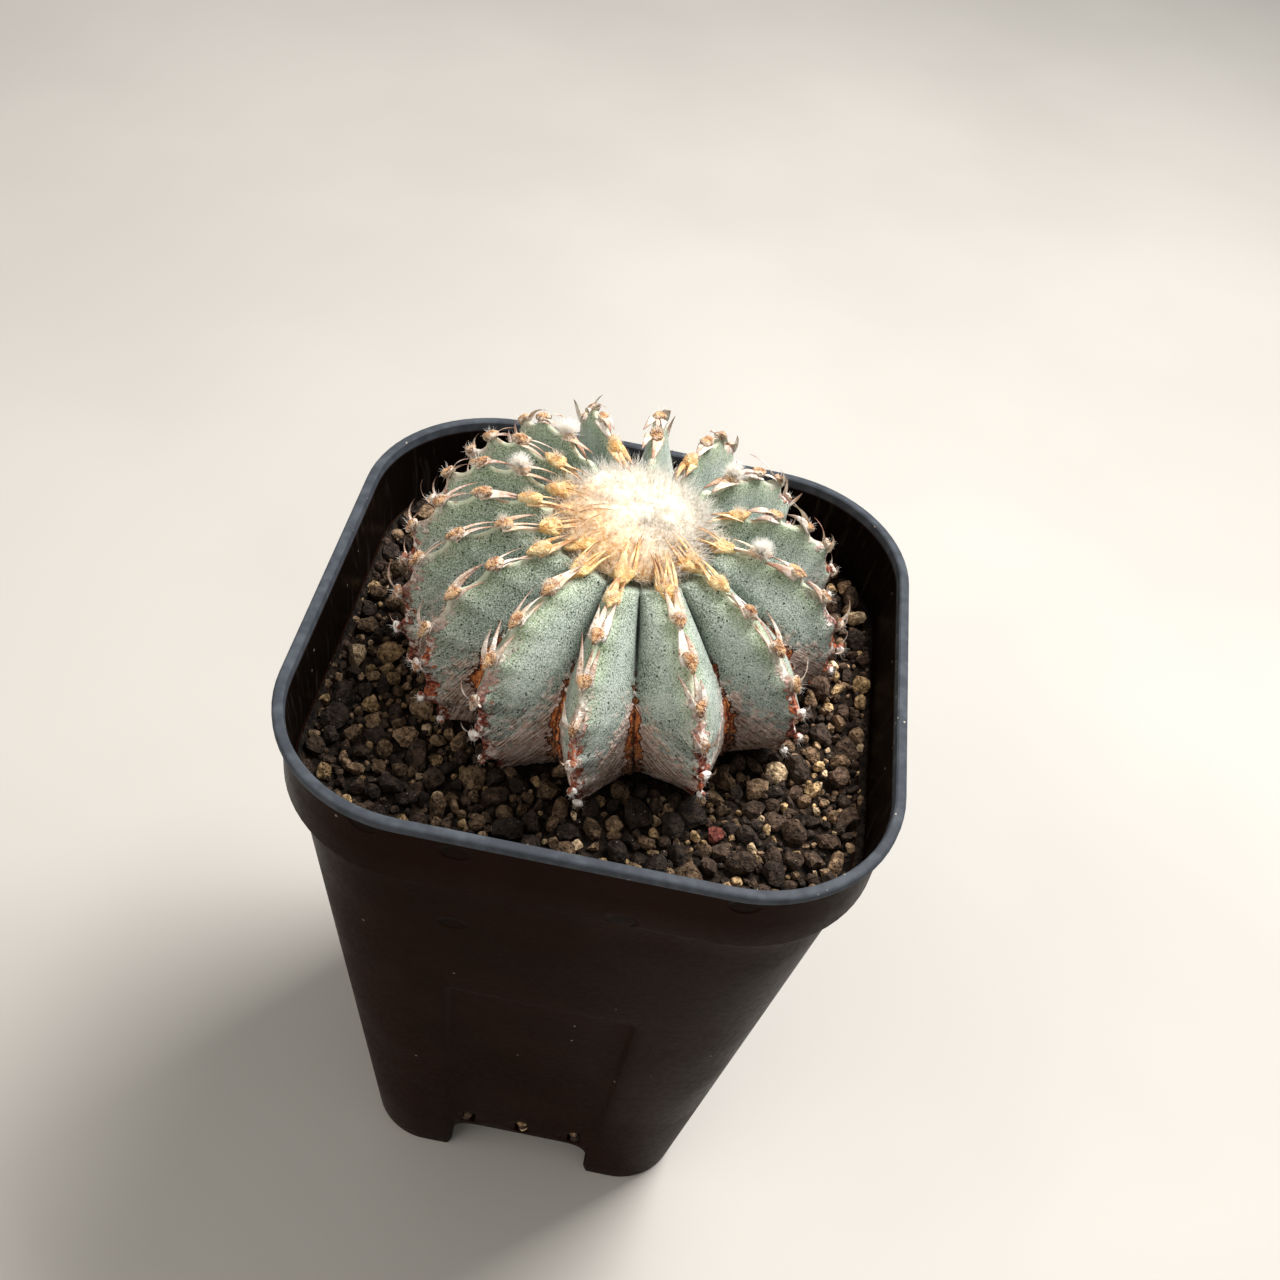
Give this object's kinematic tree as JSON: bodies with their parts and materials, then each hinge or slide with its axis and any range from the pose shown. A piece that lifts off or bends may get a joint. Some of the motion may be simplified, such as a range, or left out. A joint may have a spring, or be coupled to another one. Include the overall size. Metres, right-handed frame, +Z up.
{
  "type": "potted round cactus",
  "caption": "Low round ribbed cactus with a woolly crown and papery spines, rooted in volcanic grit in a tall square nursery pot with rounded corners, a deep collar and arched feet.",
  "frame": {"origin": "centre of the pot's base, on the surface that it stands on", "axes": "+Z up through the pot, X and Y along its sides, -Y towards the pictured front"},
  "size_m": [0.09, 0.09, 0.1459],
  "materials": {
    "pot_plastic": "moulded black polypropylene, satin outside, shinier lip and corners",
    "grit": "dry porous volcanic grit, dark brown to tan",
    "cactus_skin": "waxy blue-green skin with a pale bloom and dark flecks, corky and pinkish at the foot",
    "wool": "fine cream plant wool",
    "areole": "matted golden to grey areole felt",
    "spine": "dry papery spines, golden at the crown, grey-brown when old"
  },
  "bodies": {
    "root": {"pot": "pot_plastic", "grit": "grit", "cactus": "cactus_skin", "crown_wool": "wool"}
  },
  "joints": []
}
